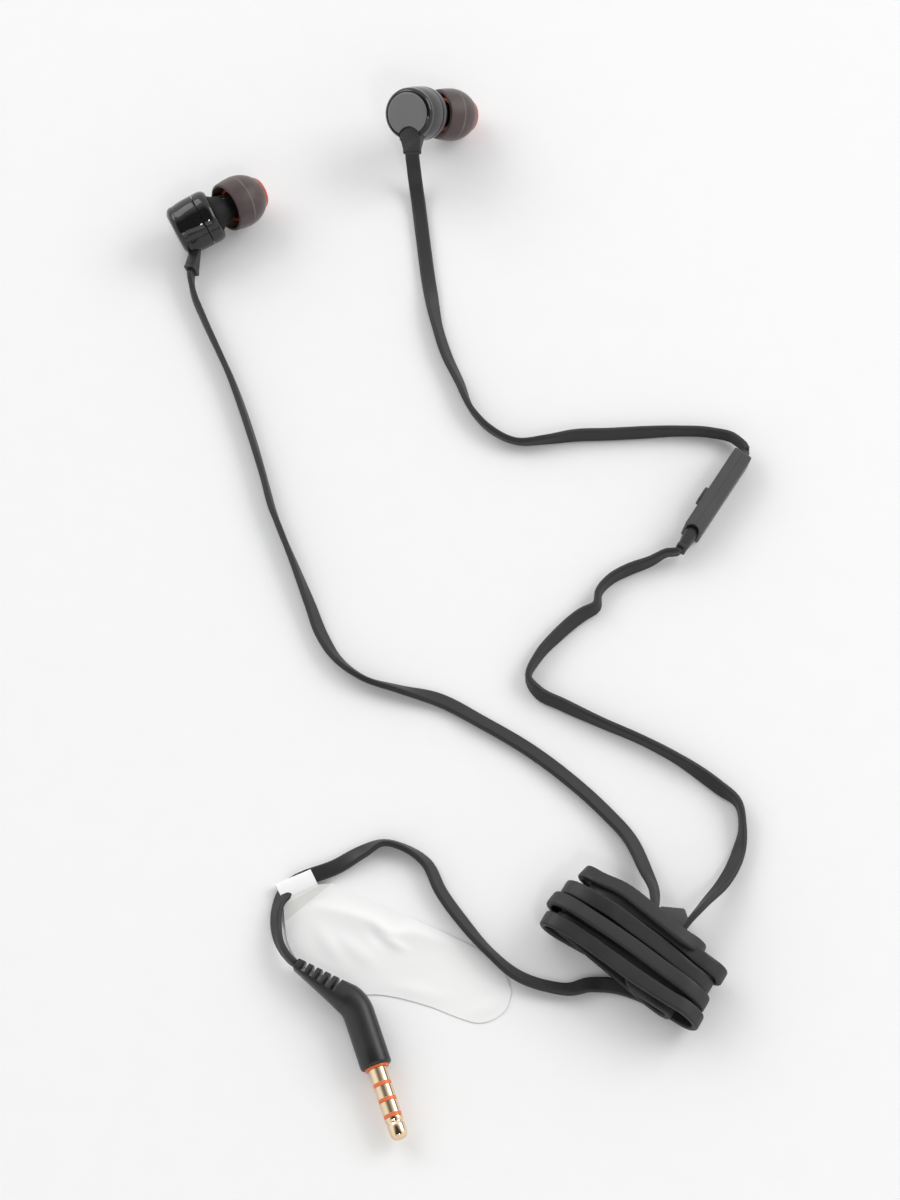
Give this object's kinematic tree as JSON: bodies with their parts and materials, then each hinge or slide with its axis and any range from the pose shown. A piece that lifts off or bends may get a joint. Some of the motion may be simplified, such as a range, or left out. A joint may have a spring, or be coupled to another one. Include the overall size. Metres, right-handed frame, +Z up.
{
  "type": "wired earphones",
  "caption": "In-ear earphones with angled nozzles and soft tips, an inline one-button remote, a flat cord wound into a flat bundle, and an angled slim audio plug.",
  "frame": {"origin": "on the surface the earphones lie on, under the middle of the pair of earpieces", "axes": "+X from the left earpiece to the right one, +Y from the cord towards the earpieces, +Z up from the surface"},
  "size_m": [0.1222, 0.2271, 0.0201],
  "materials": {
    "matte_cap": "fine matte",
    "gloss_shell": "polished",
    "matte_nozzle": "satin",
    "steel_mesh": "woven mesh",
    "smoke_silicone": "translucent matte silicone",
    "orange_silicone": "matte silicone",
    "inner_plastic": "moulded",
    "steel": "satin",
    "magnet": "nickel plated",
    "copper_wire": "enamelled winding",
    "clear_film": "thin film",
    "circuit_board": "solder mask",
    "soft_black": "soft matte",
    "cord_rubber": "soft matte",
    "matte_shell": "fine matte",
    "gold_plate": "polished plating",
    "orange_plastic": "satin",
    "white_film": "thin bare film"
  },
  "bodies": {
    "earphones": {"left_rear_cap": "matte_cap", "left_rear_housing": "gloss_shell", "left_front_ring": "gloss_shell", "left_nozzle": "matte_nozzle", "left_nozzle_mesh": "steel_mesh", "left_vent_mesh": "steel_mesh", "left_driver_frame": "inner_plastic", "left_driver_yoke": "steel", "left_driver_magnet": "magnet", "left_driver_washer": "steel", "left_voice_coil": "copper_wire", "left_diaphragm": "clear_film", "left_driver_pcb": "circuit_board", "left_strain_relief": "soft_black", "right_rear_cap": "matte_cap", "right_rear_housing": "gloss_shell", "right_front_ring": "gloss_shell", "right_nozzle": "matte_nozzle", "right_nozzle_mesh": "steel_mesh", "right_vent_mesh": "steel_mesh", "right_driver_frame": "inner_plastic", "right_driver_yoke": "steel", "right_driver_magnet": "magnet", "right_driver_washer": "steel", "right_voice_coil": "copper_wire", "right_diaphragm": "clear_film", "right_driver_pcb": "circuit_board", "right_strain_relief": "soft_black", "remote_front": "matte_shell", "remote_rear": "matte_shell", "remote_circuit_board": "circuit_board", "remote_dome_switch": "steel", "remote_mic_capsule": "steel", "remote_mic_seal": "soft_black", "remote_upper_relief": "soft_black", "remote_lower_relief": "soft_black", "splitter_upper_half": "matte_shell", "splitter_lower_half": "matte_shell", "plug_barrel_tip": "gold_plate", "plug_ring_1": "gold_plate", "plug_ring_2": "gold_plate", "plug_sleeve": "gold_plate", "plug_insulator_bands": "orange_plastic", "plug_collar": "orange_plastic", "plug_inner_mould": "inner_plastic", "plug_overmould": "soft_black", "left_cord": "cord_rubber", "right_cord_upper": "cord_rubber", "right_cord_lower": "cord_rubber", "main_cord": "cord_rubber", "cord_hank": "cord_rubber", "cord_label": "white_film"},
    "left_tip": {"left_tip_dome": "smoke_silicone", "left_tip_core": "orange_silicone"},
    "right_tip": {"right_tip_dome": "smoke_silicone", "right_tip_core": "orange_silicone"},
    "remote_button_key": {"remote_button_key": "matte_shell"}
  },
  "joints": [
    {"name": "left_tip_pull", "type": "slide", "parent": "earphones", "child": "left_tip", "axis": [0.7604, 0.5928, -0.2651], "range_m": [0, 0.0045]},
    {"name": "right_tip_pull", "type": "slide", "parent": "earphones", "child": "right_tip", "axis": [0.7879, 0.2937, -0.5413], "range_m": [-0.0009, 0.0036]},
    {"name": "button_press", "type": "slide", "parent": "earphones", "child": "remote_button_key", "axis": [0.8392, -0.5346, -0.0995], "range_m": [0, 0.0003], "stiffness_N_per_m": 100, "springref_m": -0.0003}
  ]
}
